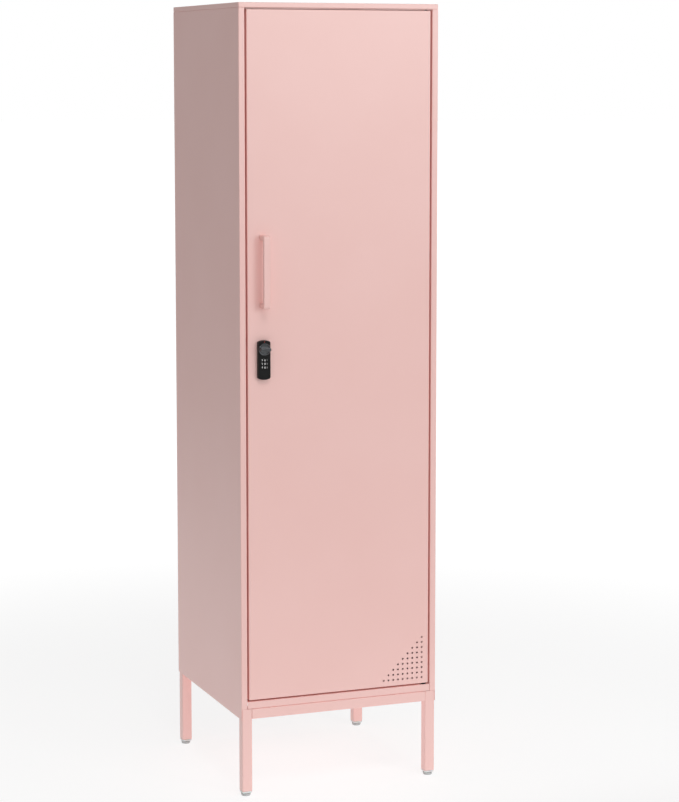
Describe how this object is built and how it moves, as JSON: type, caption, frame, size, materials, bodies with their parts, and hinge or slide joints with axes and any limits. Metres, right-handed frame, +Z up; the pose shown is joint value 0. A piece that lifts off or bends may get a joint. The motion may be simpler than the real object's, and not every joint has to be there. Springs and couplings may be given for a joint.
{
  "type": "locker cabinet",
  "caption": "Tall steel locker cabinet on a square-tube base, with shelves behind one inset lift-off door that has a bar handle, a combination cam lock and vent holes.",
  "frame": {"origin": "on the floor under the middle of the object's outline, handle included", "axes": "+Z up, -Y out of the door side, +X to the right of someone who faces the door; the hinge is on the right"},
  "size_m": [0.4, 0.4244, 1.5],
  "materials": {
    "powder_coat": "satin pink powder coat with a fine texture",
    "zinc_steel": "bright zinc-plated steel",
    "white_plastic": "satin off-white polyethylene",
    "grey_plastic": "satin grey nylon",
    "black_plastic": "satin black moulded nylon",
    "blackened_steel": "black oxide steel",
    "gunmetal": "dark plated zinc alloy",
    "black_rubber": "matt black rubber"
  },
  "bodies": {
    "root": {"left_side_panel": "powder_coat", "right_side_panel": "powder_coat", "back_panel": "powder_coat", "top_panel": "powder_coat", "top_header": "powder_coat", "floor_panel": "powder_coat", "lower_shelf": "powder_coat", "middle_shelf": "powder_coat", "upper_shelf": "powder_coat", "base_rail_front": "powder_coat", "base_rail_back": "powder_coat", "base_rail_left": "powder_coat", "base_rail_right": "powder_coat", "leg_front_left": "powder_coat", "leg_front_right": "powder_coat", "leg_back_left": "powder_coat", "leg_back_right": "powder_coat", "lower_shelf_clip_rear_left": "zinc_steel", "lower_shelf_clip_rear_right": "zinc_steel", "lower_shelf_clip_front_left": "zinc_steel", "lower_shelf_clip_front_right": "zinc_steel", "middle_shelf_clip_rear_left": "zinc_steel", "middle_shelf_clip_rear_right": "zinc_steel", "middle_shelf_clip_front_left": "zinc_steel", "middle_shelf_clip_front_right": "zinc_steel", "upper_shelf_clip_rear_left": "zinc_steel", "upper_shelf_clip_rear_right": "zinc_steel", "upper_shelf_clip_front_left": "zinc_steel", "upper_shelf_clip_front_right": "zinc_steel", "foot_insert_front_left": "white_plastic", "foot_insert_front_right": "white_plastic", "foot_insert_back_left": "white_plastic", "foot_insert_back_right": "white_plastic", "lower_hinge_washer": "black_plastic"},
    "door": {"door_panel": "powder_coat", "door_stiffener": "powder_coat", "door_handle": "powder_coat", "handle_screw_upper": "zinc_steel", "handle_screw_lower": "zinc_steel", "hinge_pin_housing": "black_plastic", "hinge_spring": "zinc_steel", "lower_hinge_pin": "blackened_steel", "door_bumper_upper": "black_rubber", "door_bumper_lower": "black_rubber", "lock_housing": "black_plastic", "lock_back_cover": "black_plastic", "lock_cover_screw": "zinc_steel", "dial_shaft": "zinc_steel"},
    "hinge_pin": {"upper_hinge_pin": "blackened_steel", "hinge_pin_lever": "zinc_steel"},
    "lock_cylinder": {"lock_knob": "gunmetal", "lock_cam": "gunmetal", "lock_cam_nut": "blackened_steel"},
    "dial_wheel_lower": {"dial_lower": "black_plastic"},
    "dial_wheel_middle": {"dial_middle": "black_plastic"},
    "dial_wheel_upper": {"dial_upper": "black_plastic"},
    "foot_front_left": {"levelling_foot_front_left": "grey_plastic"},
    "foot_front_right": {"levelling_foot_front_right": "grey_plastic"},
    "foot_back_left": {"levelling_foot_back_left": "grey_plastic"},
    "foot_back_right": {"levelling_foot_back_right": "grey_plastic"}
  },
  "joints": [
    {"name": "door_hinge", "type": "hinge", "parent": "root", "child": "door", "pos_m": [0.177, -0.18225, 0.84], "axis": [0, 0, 1], "range_deg": [0, 110]},
    {"name": "hinge_pin_pull", "type": "slide", "parent": "door", "child": "hinge_pin", "axis": [0, 0, -1], "range_m": [0, 0.008], "stiffness_N_per_m": 600, "springref_m": -0.004, "deforming": ["hinge_spring"]},
    {"name": "lock_turn", "type": "hinge", "parent": "door", "child": "lock_cylinder", "pos_m": [-0.1545, -0.18775, 0.858], "axis": [0, -1, 0], "range_deg": [0, 90]},
    {"name": "dial_lower_turn", "type": "hinge", "parent": "door", "child": "dial_wheel_lower", "pos_m": [-0.1545, -0.19101, 0.8239], "axis": [0, 0, 1], "continuous": true},
    {"name": "dial_middle_turn", "type": "hinge", "parent": "door", "child": "dial_wheel_middle", "pos_m": [-0.1545, -0.19101, 0.8307], "axis": [0, 0, 1], "continuous": true},
    {"name": "dial_upper_turn", "type": "hinge", "parent": "door", "child": "dial_wheel_upper", "pos_m": [-0.1545, -0.19101, 0.8375], "axis": [0, 0, 1], "continuous": true},
    {"name": "foot_front_left_level", "type": "slide", "parent": "root", "child": "foot_front_left", "axis": [0, 0, -1], "range_m": [0, 0.01]},
    {"name": "foot_front_right_level", "type": "slide", "parent": "root", "child": "foot_front_right", "axis": [0, 0, -1], "range_m": [0, 0.01]},
    {"name": "foot_back_left_level", "type": "slide", "parent": "root", "child": "foot_back_left", "axis": [0, 0, -1], "range_m": [0, 0.01]},
    {"name": "foot_back_right_level", "type": "slide", "parent": "root", "child": "foot_back_right", "axis": [0, 0, -1], "range_m": [0, 0.01]}
  ]
}
